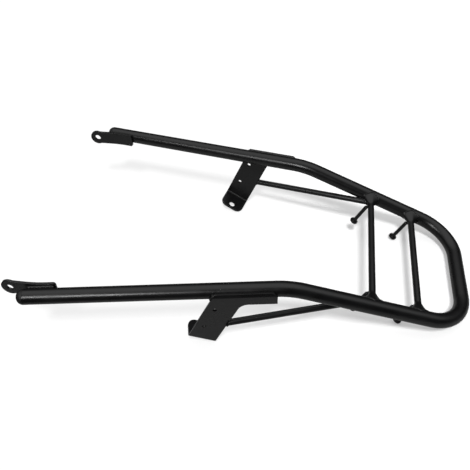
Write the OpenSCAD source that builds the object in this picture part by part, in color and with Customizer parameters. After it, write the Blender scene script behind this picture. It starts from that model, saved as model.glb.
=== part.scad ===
// Motorcycle luggage rack, in millimetres.
// One bent tube runs back from the two front eyes, dips at a shallow bend and
// closes in a loop at the rear. The part stands on its two bracket feet and the
// heads of its rear pegs. X points to the rear, Y to the right, Z up. The origin
// is under the middle of the rack, on the surface it stands on.

/* [Main tube] */
// Outer diameter of the bent tube
tube_d = 22; // [19:0.5:25]
// Wall thickness of the bent tube
tube_wall = 2; // [1.2:0.1:3]
// Loss of thickness on each side where a tube or a sheet is bent
bend_thin = 0.05; // [0.02:0.01:0.1]
// Distance from the centre plane to the tube's axis at the shallow bend
bend_half_w = 137; // [125:1:150]
// Length of a front rail, from the shallow bend to its cut end
front_len = 359; // [320:1:420]
// Angle at which the front rails spread apart
front_taper = 9.9; // [6:0.1:12]
// Downward slope of the loop behind the shallow bend
loop_slope = 19.5; // [12:0.5:24]
// Angle at which the loop's rails draw together
loop_taper = 7.9; // [5:0.1:9]
// Length along the slope, from the shallow bend to the rear bar's axis
loop_len = 264.5; // [250:0.5:290]
// Radius of the shallow bend, at the tube's axis
shallow_r = 120; // [80:5:260]
// Radius of the two rear corners, at the tube's axis
corner_r = 64; // [50:1:70]

/* [End caps] */
// Length of a cap's plug inside the tube
plug_len = 14; // [8:1:25]
// Clearance between the plug and the tube's bore, on the radius
plug_clear = 0.1; // [0.05:0.05:0.3]

/* [Eye plates] */
// Thickness of an eye plate
eye_t = 4; // [3:0.5:6]
// Width of the flat bar that an eye plate is cut from
eye_bar_w = 23; // [18:0.5:25]
// Outer diameter of the rounded eye
eye_d = 25.5; // [24:0.5:32]
// Diameter of the bolt hole in the eye
eye_hole_d = 10.5; // [8:0.5:13]
// Length of the plate that lies on the rail, from the kink to its rear edge
eye_seat_len = 28; // [20:1:60]
// Distance from the kink to the middle of the eye
eye_reach = 39; // [34:1:50]
// Distance from the tube's cut end back to the kink
eye_kink_back = 14; // [8:1:25]
// Radius of the plate's bend
eye_bend_r = 180; // [60:10:200]
// Corner radius at the plate's rear edge
eye_corner_r = 4; // [1:0.5:8]

/* [Side brackets] */
// Thickness of the bracket sheet
sheet_t = 4; // [3:0.5:5]
// Width of the strap that reaches down to the foot
strap_w = 41; // [34:0.5:46]
// Length of the strap, from rail height to the corner of the foot
strap_len = 97.5; // [80:0.5:105]
// Forward slant of the strap
strap_slant = 24; // [15:0.5:28]
// Inward lean of the strap
strap_lean = 4.9; // [2:0.1:8]
// Distance along the rail from the shallow bend to the strap's front edge
strap_front = 106; // [98:1:115]
// Distance along the rail from the shallow bend to the wing's rear end
wing_rear = 18.5; // [14:0.5:30]
// Depth of the wing below the tube's axis
wing_drop = 14; // [12:0.5:18]
// Height of the folded lip above the tube's axis
lip_rise = 6.5; // [5:0.5:9]
// Inward lean of the folded lip
lip_lean = 12; // [6:1:20]
// Height of the chamfer at the lip's rear end
lip_chamfer = 5.2; // [3:0.2:6]
// Radius between the strap and the wing
wing_fillet_r = 16; // [8:1:22]
// Turn of the foot from the strap's line
foot_turn = 78; // [70:1:90]
// Inner radius of the foot's bend
foot_bend_r = 3; // [2:0.5:6]
// Reach of the foot inwards from the strap's outer face
foot_reach = 34.5; // [30:1:44]
// Corner radius at the end of the foot
foot_corner_r = 12; // [6:0.5:16]
// Diameter of the bolt hole in the foot
foot_hole_d = 10.5; // [8:0.5:13]
// Distance of the foot's hole from the strap's outer face
foot_hole_at = 25.5; // [18:0.5:28]
// Diameter of the two small holes in the strap
strap_hole_d = 6.5; // [5:0.5:9]
// Distance of the upper small hole below rail height, along the strap
upper_hole_at = 21; // [18:1:34]
// Distance between the two small holes, along the strap
hole_pitch = 42; // [30:1:48]
// Distance of the small holes from the strap's front edge
hole_inset = 12; // [7:0.5:20]

/* [Cross bars and stays] */
// Diameter of the round bar used for the cross bars
bar_d = 10; // [8:0.5:12]
// Distance along the slope between the two cross bars
bar_pitch = 71.5; // [60:0.5:85]
// Distance along the slope from the rear cross bar back to the loop's rear bar
rear_bar_back = 74; // [72:0.5:90]
// Diameter of the round bar used for the stays
stay_d = 9.6; // [8:0.2:12]
// Distance from the rail's axis to a stay's axis where it meets the front bar
stay_inset = 15; // [14:0.5:20]
// Depth of a stay's rear end below the front bar's axis
stay_drop = 1.6; // [0:0.1:3]
// Distance down the strap's rear edge from rail height to the stay
stay_down = 63; // [50:1:75]

/* [Flared bar ends] */
// Length of a cross bar's flare, past the tube's surface
flare_len = 8; // [3:0.5:12]
// Radius of the flare where it reaches the tube's surface
flare_r = 9.5; // [7:0.25:10.5]
// Distance from the tube's crown to the upper edge of the flare
flare_edge = 3; // [1:0.5:6]

/* [Pegs] */
// Diameter of a peg's shank
peg_d = 6; // [5:0.5:8]
// Length of a peg, from its head's face to its end at the bar
peg_len = 41; // [30:0.5:50]
// Diameter of a peg's head
head_d = 13; // [10:0.5:16]
// Thickness of a peg's head
head_t = 4; // [2.5:0.5:6]
// Radius of the rounded edge of a peg's head
head_edge_r = 1.5; // [0.5:0.25:2]
// Forward lean of a peg from square to the loop
peg_lean = 8; // [0:1:15]
// Distance of a peg's axis ahead of its cross bar's axis
peg_ahead = 5.4; // [4.5:0.1:7]
// Distance of a peg's upper end below its cross bar's axis
peg_drop = 3; // [1:0.1:4]
// Distance of a front peg inboard of the rail's axis
front_peg_inset = 25.5; // [20:0.5:40]
// Distance of a rear peg inboard of the rail's axis
rear_peg_inset = 20.5; // [16:0.5:40]

/* [Fit] */
// Gap left for the weld between a plate and the tube
weld_gap = 0.1; // [0.05:0.05:0.3]

/* [Hidden] */

// Facets of round shapes, of the tube's section, of a bend's full turn and of an eye plate's bend
$fn = 26;
tube_fn = 26;
bend_fn = 56;
eye_bend_fn = 240;

// Length by which a straight run or a flat laps into a bend
run_lap = 0.8;

coat = "#1c1c1d";
cap_black = "#161616";

tube_r = tube_d / 2;
bore_r = tube_r - tube_wall;
bar_r = bar_d / 2;
stay_r = stay_d / 2;
peg_r = peg_d / 2;
head_r = head_d / 2;
eye_r = eye_d / 2;
seat_r = tube_r + weld_gap;
crown_r = sqrt(pow(tube_r, 2) - pow(flare_edge, 2));

// Directions of the front rail and of the loop's rail, on the right side
front_dir = [cos(front_taper), -sin(front_taper), 0];
front_out = [sin(front_taper), cos(front_taper), 0];
loop_dir = [
    cos(loop_taper) * cos(loop_slope),
    -sin(loop_taper),
    -cos(loop_taper) * sin(loop_slope)
];

// The shallow bend: how far it turns, and how its plane is rolled about the rail
shallow_turn = acos(front_dir * loop_dir);
shallow_roll = atan2(loop_dir * front_out, -loop_dir[2]);
shallow_tangent = shallow_r * tan(shallow_turn / 2);

// The loop, in its own sloping plane
loop_rail_len = loop_len / cos(loop_taper);
corner_half_w = bend_half_w - loop_len * tan(loop_taper);
corner_turn = 90 - loop_taper;
corner_tangent = corner_r * tan(corner_turn / 2);

// The cross bars, as distances along the slope from the shallow bend
rear_bar_at = loop_len - rear_bar_back;
front_bar_at = rear_bar_at - bar_pitch;

// Half width of the loop at a distance along the slope
function loop_half_w(at) = bend_half_w - at * tan(loop_taper);

// Places in the frames of the right front rail and of the loop
function rail_point(p) = [0, bend_half_w, 0] + p[0] * front_dir + p[1] * front_out + [0, 0, p[2]];
function loop_point(p) = [
    p[0] * cos(loop_slope) + p[2] * sin(loop_slope),
    p[1],
    -p[0] * sin(loop_slope) + p[2] * cos(loop_slope)
];

// A place on the right strap: X from its front edge, Y outwards, Z up the strap from rail height
function strap_point(p) =
    let (along = p[0] * cos(strap_slant) + p[2] * sin(strap_slant))
    let (up = p[2] * cos(strap_slant) - p[0] * sin(strap_slant))
    rail_point([
        along - strap_front,
        p[1] * cos(strap_lean) + up * sin(strap_lean),
        up * cos(strap_lean) - p[1] * sin(strap_lean)
    ]);

// The foot's bend, and the length of the strap's flat above it
foot_outer_r = foot_bend_r + sheet_t;
foot_set = foot_outer_r * tan(foot_turn / 2);
flat_len = strap_len - foot_set;

// Width of a block that reaches through the leant sheet
sheet_reach = 2 * tube_d;

// Lowest point of the right foot, on the rounded rear corner of its end
strap_outer = seat_r + sheet_t;
heel = [
    strap_w - foot_corner_r,
    strap_outer - (foot_reach - foot_corner_r) * sin(foot_turn),
    -strap_len - (foot_reach - foot_corner_r) * cos(foot_turn)
];
fall_across = strap_point([0, 0, 0])[2] - strap_point([1, 0, 0])[2];
fall_inward = strap_point([0, 0, 0])[2] - strap_point([0, -sin(foot_turn), -cos(foot_turn)])[2];
toe = foot_corner_r * [fall_across, fall_inward] / norm([fall_across, fall_inward]);
foot_low_point = strap_point(heel + [toe[0], -toe[1] * sin(foot_turn), -toe[1] * cos(foot_turn)]);

// A stay's axis, from the strap's rear edge to a point near the front cross bar's end
stay_front = strap_point([strap_w, seat_r + sheet_t / 2, strap_w * tan(strap_slant) - stay_down]);
stay_rear = loop_point([front_bar_at, loop_half_w(front_bar_at) - stay_inset, -stay_drop]);
stay_dir = (stay_rear - stay_front) / norm(stay_rear - stay_front);

// Lowest point of a rear peg's head, on the rounded edge
peg_tilt = loop_slope + peg_lean;
rim_r = head_r - head_edge_r;
rim_down = peg_len - head_edge_r;
peg_top = loop_point([rear_bar_at - peg_ahead, 0, -peg_drop]);
peg_low_point = peg_top
    + [rim_r * cos(peg_tilt) - rim_down * sin(peg_tilt), 0, -rim_r * sin(peg_tilt) - rim_down * cos(peg_tilt)]
    - [0, 0, head_edge_r];

// Tilt at which the feet and the rear pegs stand on one level, and the height that it gives
rest_tilt = atan((peg_low_point[2] - foot_low_point[2]) / (peg_low_point[0] - foot_low_point[0]));
stand_h = peg_low_point[0] * sin(rest_tilt) - peg_low_point[2] * cos(rest_tilt);

// Front and rear limits, which centre the part on its origin
kink_at = front_len - eye_kink_back;
eye_tangent = (eye_bend_r + eye_t) * tan(front_taper / 2);
eye_x = -kink_at * cos(front_taper) - seat_r * sin(front_taper) - eye_reach;
eye_y = bend_half_w + kink_at * sin(front_taper) - seat_r * cos(front_taper) - eye_t / 2;
front_x = eye_x * cos(rest_tilt) - eye_r;
rear_x = loop_len * cos(loop_slope + rest_tilt) + tube_r;
mid_x = (front_x + rear_x) / 2;

// Places the shallow bend's frame on the surface the rack stands on
module stand() {
    translate([-mid_x, 0, stand_h]) rotate([0, rest_tilt, 0]) children();
}

// Mirrors a right-hand piece to the left
module left() {
    mirror([0, 1, 0]) children();
}

// Frame of the right front rail: X along it to the rear, Y outwards
module on_front_rail() {
    translate([0, bend_half_w, 0]) rotate([0, 0, -front_taper]) children();
}

// Frame of the loop: X down the slope, Z square to it
module on_loop() {
    rotate([0, loop_slope, 0]) children();
}

// Frame of the loop's right rail: X along it to the rear
module on_loop_rail() {
    on_loop() translate([0, bend_half_w, 0]) rotate([0, 0, -loop_taper]) children();
}

// The tube's section, or its outline alone, with its wall made thinner on each side
module section(hollow, thin) {
    difference() {
        circle(r = tube_r - thin, $fn = tube_fn);
        if (hollow) circle(r = bore_r + thin, $fn = tube_fn);
    }
}

// A straight run of tube along X
module straight(from, to, hollow) {
    translate([from, 0, 0]) rotate([0, 90, 0]) linear_extrude(to - from) section(hollow, 0);
}

// A bend of the tube about Z
module bend(r, turn, hollow) {
    rotate_extrude(angle = turn, $fn = bend_fn) translate([r, 0]) section(hollow, bend_thin);
}

// The right front rail
module front_rail(hollow) {
    on_front_rail() straight(-front_len, run_lap - shallow_tangent, hollow);
}

// The shallow bend on the right, which turns down from the front rail
module shallow_bend(hollow) {
    on_front_rail() rotate([shallow_roll, 0, 0])
        translate([-shallow_tangent, 0, -shallow_r])
        rotate([90, 0, 0])
        rotate([0, 0, 90 - shallow_turn])
        bend(shallow_r, shallow_turn, hollow);
}

// The right rail of the loop, with its rear corner
module loop_rail(hollow) {
    corner_at = loop_rail_len - corner_tangent;
    on_loop_rail() {
        straight(shallow_tangent - run_lap, corner_at + run_lap, hollow);
        translate([corner_at, -corner_r, 0]) rotate([0, 0, loop_taper]) bend(corner_r, corner_turn, hollow);
    }
}

// The straight bar across the rear of the loop
module rear_bar(hollow) {
    half = corner_half_w - corner_tangent + run_lap;
    on_loop() translate([loop_len, half, 0]) rotate([90, 0, 0]) linear_extrude(2 * half) section(hollow, 0);
}

// One bent tube, from one front end round the loop to the other
module main_tube() {
    color(coat) stand() {
        front_rail(true);
        shallow_bend(true);
        loop_rail(true);
        left() {
            front_rail(true);
            shallow_bend(true);
            loop_rail(true);
        }
        rear_bar(true);
    }
}

// A domed cap whose plug fits the front end of the tube
module end_cap() {
    on_front_rail() translate([-front_len, 0, 0]) {
        intersection() {
            sphere(r = tube_r);
            translate([-tube_r, 0, 0]) cube([tube_d, tube_d, tube_d], center = true);
        }
        rotate([0, 90, 0]) cylinder(r = bore_r - plug_clear, h = plug_len);
    }
}

// Turns a flat outline into a sheet that stands on the X axis, its near face at Y = 0
module sheet(t) {
    translate([0, t, 0]) rotate([90, 0, 0]) linear_extrude(t) children();
}

// Side outline of an eye plate, with the middle of its eye at the origin
module eye_outline() {
    half = eye_bar_w / 2;
    rear = eye_reach + eye_seat_len * cos(front_taper);
    difference() {
        union() {
            circle(r = eye_r);
            translate([0, -half]) square([rear - eye_corner_r, eye_bar_w]);
            translate([0, eye_corner_r - half]) square([rear, eye_bar_w - 2 * eye_corner_r]);
            for (side = [-1, 1])
                translate([rear - eye_corner_r, side * (half - eye_corner_r)]) circle(r = eye_corner_r);
        }
        circle(r = eye_hole_d / 2);
    }
}

// Plan of an eye plate, bent to follow the rail, with its outer face at Y = 0 in front of the bend
module eye_plan() {
    bend_start = eye_reach - eye_tangent;
    translate([-eye_r, -eye_t]) square([eye_r + bend_start + run_lap, eye_t]);
    translate([bend_start, -eye_t - eye_bend_r]) {
        difference() {
            circle(r = eye_bend_r + eye_t - bend_thin, $fn = eye_bend_fn);
            circle(r = eye_bend_r + bend_thin, $fn = eye_bend_fn);
            translate([-2 * eye_bend_r, -2 * eye_bend_r]) square([2 * eye_bend_r, 4 * eye_bend_r]);
            rotate([0, 0, -front_taper])
                translate([0, -2 * eye_bend_r]) square([2 * eye_bend_r, 4 * eye_bend_r]);
        }
        rotate([0, 0, -front_taper])
            translate([-run_lap, eye_bend_r]) square([eye_seat_len + run_lap, eye_t]);
    }
}

// A flat bar on the rail's inner side, bent so that its eye is parallel to the centre plane
module eye_plate() {
    translate([eye_x, eye_y + eye_t / 2, 0])
        intersection() {
            translate([0, 0, -eye_r]) linear_extrude(eye_d) eye_plan();
            sheet_across() eye_outline();
        }
}

// Turns a side outline into a block that runs across the rack on both sides of Y = 0
module sheet_across() {
    translate([0, eye_reach, 0]) rotate([90, 0, 0]) linear_extrude(2 * eye_reach) children();
}

// Frame of the strap: the rail's frame, leant inwards about the tube's axis
module on_lean() {
    rotate([-strap_lean, 0, 0]) children();
}

// Frame at the strap's front edge: X across the strap, Z back up it
module on_strap() {
    on_lean() translate([-strap_front, 0, 0]) rotate([0, strap_slant, 0]) children();
}

// Turns a place in the leant sheet into the strap's own frame
function slanted(p) = [
    p[0] * cos(strap_slant) - p[1] * sin(strap_slant),
    p[0] * sin(strap_slant) + p[1] * cos(strap_slant)
];

// Side outline of the strap and its wing, with X across the strap and Y up it
module strap_outline() {
    top = 2 * lip_rise;
    wing_len = strap_front - wing_rear;
    r = wing_fillet_r;
    fillet_x = (strap_w + r - (wing_drop + r) * sin(strap_slant)) / cos(strap_slant);
    fillet = slanted([fillet_x, -wing_drop - r]);
    difference() {
        polygon([
            [0, top / cos(strap_slant)],
            slanted([wing_len - lip_chamfer - lip_rise, top]),
            slanted([wing_len, lip_rise - lip_chamfer]),
            slanted([wing_len, -wing_drop]),
            slanted([fillet_x, -wing_drop]),
            [strap_w, fillet[1]],
            [strap_w, -flat_len - run_lap],
            [0, -flat_len - run_lap]
        ]);
        translate(fillet) circle(r = r);
    }
}

// Section of the sheet across the rail, folded over the tube at its top, with X outwards and Y up
module fold_section() {
    kink = tan((strap_lean + lip_lean) / 2);
    outer = seat_r + sheet_t;
    foot_end = -strap_len - strap_w;
    kink_h = outer * (kink * cos(strap_lean) - sin(strap_lean));
    up = (lip_rise - kink_h) / cos(lip_lean) * [-sin(strap_lean + lip_lean), cos(strap_lean + lip_lean)];
    polygon([
        [seat_r, foot_end],
        [outer, foot_end],
        [outer, outer * kink],
        [outer, outer * kink] + up,
        [seat_r, seat_r * kink] + up,
        [seat_r, seat_r * kink]
    ]);
}

// The strap, its wing and the folded lip, as one sheet cut to the outline
module strap_sheet() {
    length = strap_front + strap_len;
    intersection() {
        on_lean() translate([-length, 0, 0]) rotate([90, 0, 90]) linear_extrude(length) fold_section();
        on_strap() sheet(sheet_reach) strap_outline();
    }
}

// Outline of the foot past its bend, with X across the strap
module foot_outline() {
    reach = foot_reach - foot_set;
    r = foot_corner_r;
    difference() {
        union() {
            translate([0, -run_lap]) square([strap_w, reach - r + run_lap]);
            translate([r, 0]) square([strap_w - 2 * r, reach]);
            for (x = [r, strap_w - r]) translate([x, reach - r]) circle(r = r);
        }
        translate([strap_w / 2, foot_hole_at - foot_set]) circle(d = foot_hole_d);
    }
}

// The bend below the strap, and the foot that turns inwards from it
module foot() {
    on_strap() translate([0, seat_r - foot_bend_r, -flat_len]) {
        translate([bend_thin, 0, 0]) rotate([0, 90, 0])
            rotate([0, 0, 90 - foot_turn])
            rotate_extrude(angle = foot_turn)
            translate([foot_bend_r + bend_thin, 0]) square([sheet_t - 2 * bend_thin, strap_w - 2 * bend_thin]);
        rotate([-foot_turn, 0, 0])
            translate([0, foot_outer_r, 0])
            rotate([90, 0, 0])
            mirror([0, 1, 0])
            linear_extrude(sheet_t) foot_outline();
    }
}

// Bracket sheet on the rail's outer side, folded over the tube and turned in at its foot
module side_bracket() {
    on_front_rail() difference() {
        union() {
            strap_sheet();
            foot();
        }
        on_strap()
            for (down = [upper_hole_at, upper_hole_at + hole_pitch])
                translate([hole_inset, 0, -down]) rotate([-90, 0, 0]) cylinder(d = strap_hole_d, h = sheet_reach);
    }
}

// A cylinder between two points
module rod(a, b, r) {
    d = b - a;
    translate(a)
        rotate([0, acos(d[2] / norm(d)), atan2(d[1], d[0])])
        cylinder(r = r, h = norm(d));
}

// A round bar from the strap's rear edge to the corner of rail and front cross bar
module stay() {
    difference() {
        rod(stay_front - stay_d * stay_dir, stay_rear, stay_r);
        loop_rail(false);
        bar_blank(front_bar_at);
        on_front_rail() on_strap()
            translate([strap_w - tube_d, -tube_d, -strap_len]) cube([tube_d, tube_d * 3, strap_len]);
    }
}

// The flare at the right end of a cross bar, a cone that laps up to the tube's crown
module flare(at) {
    on_loop() translate([at, loop_half_w(at) - tube_r, 0]) rotate([90, 0, 0]) {
        cylinder(r1 = flare_r, r2 = bar_r, h = flare_len);
        translate([0, 0, flare_edge - tube_r]) cylinder(r1 = crown_r, r2 = flare_r, h = tube_r - flare_edge);
    }
}

// A cross bar before its ends are shaped to the tube
module bar_blank(at) {
    half = loop_half_w(at);
    on_loop() translate([at, half, 0]) rotate([90, 0, 0]) cylinder(r = bar_r, h = 2 * half);
    flare(at);
    left() flare(at);
}

// A cross bar whose flared ends fit the tube
module cross_bar(at) {
    difference() {
        bar_blank(at);
        loop_rail(false);
        left() loop_rail(false);
    }
}

// A round peg under a cross bar, with a rounded head to hook a strap on
module peg(at, inset) {
    y = loop_half_w(at) - inset;
    difference() {
        on_loop() translate([at - peg_ahead, y, -peg_drop]) rotate([0, peg_lean, 0]) {
            translate([0, 0, -peg_len]) peg_profile();
        }
        bar_blank(at);
    }
}

// The peg as one turned piece, its head at the bottom
module peg_profile() {
    e = head_edge_r;
    rotate_extrude() {
        square([peg_r, peg_len]);
        translate([0, e]) square([head_r, head_t - e]);
        square([head_r - e, head_t]);
        intersection() {
            translate([head_r - e, e]) circle(r = e);
            square([head_r, e]);
        }
    }
}

main_tube();
color(cap_black) stand() end_cap();  // end_cap_right
color(cap_black) stand() left() end_cap();  // end_cap_left
color(coat) stand() eye_plate();  // eye_plate_right
color(coat) stand() left() eye_plate();  // eye_plate_left
color(coat) stand() side_bracket();  // side_bracket_right
color(coat) stand() left() side_bracket();  // side_bracket_left
color(coat) stand() stay();  // stay_right
color(coat) stand() left() stay();  // stay_left
color(coat) stand() cross_bar(front_bar_at);  // front_cross_bar
color(coat) stand() cross_bar(rear_bar_at);  // rear_cross_bar
color(coat) stand() peg(front_bar_at, front_peg_inset);  // front_peg_right
color(coat) stand() left() peg(front_bar_at, front_peg_inset);  // front_peg_left
color(coat) stand() peg(rear_bar_at, rear_peg_inset);  // rear_peg_right
color(coat) stand() left() peg(rear_bar_at, rear_peg_inset);  // rear_peg_left
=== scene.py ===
# %% [markdown]
# # A welded luggage rack for a motorcycle
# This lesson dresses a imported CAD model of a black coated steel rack.
# The CAD solids give the true sizes. Blender adds what a camera sees:
# round tube without facets, folded sheet with soft edges, weld beads and the coat itself.
# Everything is in metres, in the frame of the CAD model, so each piece is made where it belongs.

# %% Load the frame
import math

import bmesh
import bpy
from mathutils import Matrix, Vector
from mathutils.geometry import tessellate_polygon


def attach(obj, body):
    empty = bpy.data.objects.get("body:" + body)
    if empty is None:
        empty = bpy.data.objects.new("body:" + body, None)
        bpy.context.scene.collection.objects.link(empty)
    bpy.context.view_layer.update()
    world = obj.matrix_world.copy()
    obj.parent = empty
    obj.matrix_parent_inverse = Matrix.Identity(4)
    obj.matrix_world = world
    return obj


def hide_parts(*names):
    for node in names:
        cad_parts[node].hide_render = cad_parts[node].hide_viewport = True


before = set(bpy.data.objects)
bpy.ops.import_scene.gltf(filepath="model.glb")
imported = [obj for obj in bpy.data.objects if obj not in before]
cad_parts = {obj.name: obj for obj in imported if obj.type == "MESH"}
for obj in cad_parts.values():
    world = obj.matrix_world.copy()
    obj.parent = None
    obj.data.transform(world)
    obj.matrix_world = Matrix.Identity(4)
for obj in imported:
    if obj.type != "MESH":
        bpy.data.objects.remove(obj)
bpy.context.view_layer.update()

# %% [markdown]
# ## The camera
# The photograph looks down at the rack from its left side, from about a metre away.
# Its place and lens were worked out from straight edges whose real directions are known.
# A camera can be turned by angles, but three direction vectors are easier to check:
# they are the columns of its rotation, with the lens looking along minus Z.

# %% Camera
CAMERA_AT = Vector((0.1067, -0.6542, 0.6903))
CAMERA_RIGHT = Vector((0.9861, 0.1590, -0.0538))
CAMERA_UP = Vector((-0.0697, 0.6800, 0.7296))
LENS_MM = 44.27
SENSOR_MM = 36.0
NEAREST_SEEN = 0.01

back = CAMERA_RIGHT.cross(CAMERA_UP).normalized()
right = CAMERA_UP.cross(back).normalized()
up = back.cross(right)
camera_data = bpy.data.cameras.new("photo_camera")
camera_data.sensor_width = SENSOR_MM
camera_data.lens = LENS_MM
camera_data.clip_start = NEAREST_SEEN
camera = bpy.data.objects.new("photo_camera", camera_data)
camera.matrix_world = Matrix.Translation(CAMERA_AT) @ Matrix((right, up, back)).transposed().to_4x4()
bpy.context.scene.collection.objects.link(camera)
bpy.context.scene.camera = camera
print("camera looks along", [round(v, 3) for v in -back])

# %% [markdown]
# ## Sizes and directions
# The rack is made of straight runs and bends, so a handful of sizes place every piece.
# They are the sizes of the CAD source, in millimetres, and one factor turns them into metres.
# Small matrices stand for the directions of the rails, so that each piece
# can be drawn lying flat or standing square and is then placed by one multiplication.
# The last three sizes set the rack on its feet: the middle of its length,
# its height over the table and the small tilt with which all its feet touch.

# %% Sizes of the frame
MM = 0.001
TUBE_R = 11.0
TUBE_WALL = 2.0
HALF_W = 137.0
FRONT_LEN = 359.0
FRONT_TAPER = math.radians(9.9)
LOOP_SLOPE = math.radians(19.5)
LOOP_TAPER = math.radians(7.9)
LOOP_LEN = 264.5
SHALLOW_R = 120.0
CORNER_R = 64.0
SEAT_GAP = 0.1
SEAT_R = TUBE_R + SEAT_GAP
MID_X = -67.5112
STAND_H = 106.8
REST_TILT = math.radians(1.20651)


def turn(angle, axis):
    return Matrix.Rotation(angle, 4, axis)


def shift(x, y, z):
    return Matrix.Translation((x, y, z))


STAND = Matrix.Scale(MM, 4) @ shift(-MID_X, 0, STAND_H) @ turn(REST_TILT, "Y")
RAIL = shift(0, HALF_W, 0) @ turn(-FRONT_TAPER, "Z")
LOOP = turn(LOOP_SLOPE, "Y")
MIRROR = Matrix.Diagonal((1, -1, 1, 1))
SIDES = {"right": Matrix.Identity(4), "left": MIRROR}


def loop_half_w(at):
    """Half width of the loop, at a distance down its slope."""
    return HALF_W - at * math.tan(LOOP_TAPER)


print("width between the rails' axes, in mm", 2 * HALF_W)

# %% [markdown]
# ## Helpers for finished pieces
# A finished piece keeps its object at the origin, so its place is in its vertices.
# Geometry Nodes are a good way to make a thing that follows a path, but the exported
# model needs plain meshes. One helper makes an object, and the next evaluates it with its
# modifiers and keeps only the resulting mesh. The last one gives a piece its material
# and hides the CAD node it stands for.

# %% Helpers for finished pieces
def link(name, mesh):
    piece = bpy.data.objects.new(name, mesh)
    bpy.context.scene.collection.objects.link(piece)
    return piece


def bake_down(piece):
    """Turns an object with modifiers into a plain mesh of the same name."""
    bpy.context.view_layer.update()
    seen = piece.evaluated_get(bpy.context.evaluated_depsgraph_get())
    made = bpy.data.meshes.new_from_object(seen)
    piece.modifiers.clear()
    piece.data = made
    made.name = piece.name
    return piece


def finish_piece(piece, node, material):
    """Dresses a piece and hides the CAD node it replaces; node is None where the piece only adds to them.
    """
    if not piece.data.materials:
        piece.data.materials.append(material)
    for i in range(len(piece.data.materials)):
        piece.data.materials[i] = material
    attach(piece, "root")
    if node:
        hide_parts(node)
    print(f"{piece.name}: {len(piece.data.polygons)} faces")
    return piece


# %% [markdown]
# ## The black coat
# The steel is covered in a baked powder coat: near black, half gloss, with the faint
# orange-peel waves that the powder leaves as it melts. A flat black would look like a hole
# in the picture, so the gloss varies a little from place to place and a bump
# carries two sizes of wave. Both come from noise on Object coordinates, in metres,
# so the pattern has the same real size on every piece.

# %% Coat materials
NOISE_LOW = 0.3
NOISE_HIGH = 0.7
CLOUDS_PER_METRE = 35.0
CLOUD_DETAIL = 3.0
CLOUD_EDGES = (0.35, 0.65)
CLOUD_SHADES = (0.8, 1.25)
SMOOTHER = 0.04
ROUGHER = 0.05
WAVE_DETAIL = 1.0
GRAINS_PER_WAVE = 9.0
GRAIN_DETAIL = 2.0


def math_node(tree, operation, first, second=None):
    node = tree.nodes.new("ShaderNodeMath")
    node.operation = operation
    for socket, value in zip(node.inputs, (first, second)):
        if isinstance(value, (int, float)):
            socket.default_value = value
        elif value is not None:
            tree.links.new(value, socket)
    return node.outputs[0]


def noise(tree, coordinates, per_metre, detail):
    node = tree.nodes.new("ShaderNodeTexNoise")
    node.inputs["Scale"].default_value = per_metre
    node.inputs["Detail"].default_value = detail
    tree.links.new(coordinates, node.inputs["Vector"])
    return node.outputs["Fac"]


def spread(tree, value, low, high):
    """Maps the middle of a noise to a range of values."""
    node = tree.nodes.new("ShaderNodeMapRange")
    node.inputs["From Min"].default_value = NOISE_LOW
    node.inputs["From Max"].default_value = NOISE_HIGH
    node.inputs["To Min"].default_value = low
    node.inputs["To Max"].default_value = high
    tree.links.new(value, node.inputs["Value"])
    return node.outputs["Result"]


def bump(tree, height, distance, under=None):
    node = tree.nodes.new("ShaderNodeBump")
    node.inputs["Strength"].default_value = 1.0
    node.inputs["Distance"].default_value = distance
    tree.links.new(height, node.inputs["Height"])
    if under:
        tree.links.new(under, node.inputs["Normal"])
    return node.outputs["Normal"]


def coat_material(name, colour, rough, waves_per_metre, wave_height, grain_height):
    """A dark coat whose gloss and surface vary at two scales."""
    material = bpy.data.materials.new(name)
    material.use_nodes = True
    tree = material.node_tree
    shader = tree.nodes["Principled BSDF"]
    where = tree.nodes.new("ShaderNodeTexCoord").outputs["Object"]
    cloud = noise(tree, where, CLOUDS_PER_METRE, CLOUD_DETAIL)
    ramp = tree.nodes.new("ShaderNodeValToRGB")
    for element, position, shade in zip(ramp.color_ramp.elements, CLOUD_EDGES, CLOUD_SHADES):
        element.position = position
        element.color = [c * shade for c in colour] + [1.0]
    tree.links.new(cloud, ramp.inputs["Fac"])
    tree.links.new(ramp.outputs["Color"], shader.inputs["Base Color"])
    gloss = spread(tree, cloud, rough - SMOOTHER, rough + ROUGHER)
    tree.links.new(gloss, shader.inputs["Roughness"])
    waves = bump(tree, noise(tree, where, waves_per_metre, WAVE_DETAIL), wave_height)
    grains = noise(tree, where, GRAINS_PER_WAVE * waves_per_metre, GRAIN_DETAIL)
    grain = bump(tree, grains, grain_height, waves)
    tree.links.new(grain, shader.inputs["Normal"])
    return material


COAT = coat_material(
    "black_coat", colour=(0.003, 0.003, 0.0032), rough=0.30,
    waves_per_metre=260.0, wave_height=0.00006, grain_height=0.000006,
)
CAP = coat_material(
    "cap_plastic", colour=(0.003, 0.003, 0.003), rough=0.55,
    waves_per_metre=500.0, wave_height=0.00001, grain_height=0.000003,
)
print("materials:", COAT.name, CAP.name)

# %% [markdown]
# ## The bent tube
# The real rack starts as one long steel tube, bent twice on each side and once at each
# rear corner. The same idea works here: corners of a line, rounded to the bender's radius,
# give a path, and Geometry Nodes sweep a circle along it. A sweep beats joined
# cylinders, because its faces flow round the bends without a seam.
# A Solidify modifier adds the wall, and the cut ends get sharp rims, so that
# their shading doesn't run along the straight rails and bend what these mirror.

# %% Path with rounded corners
PATH_STEP = 2.5
FEWEST_STEPS = 4


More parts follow.
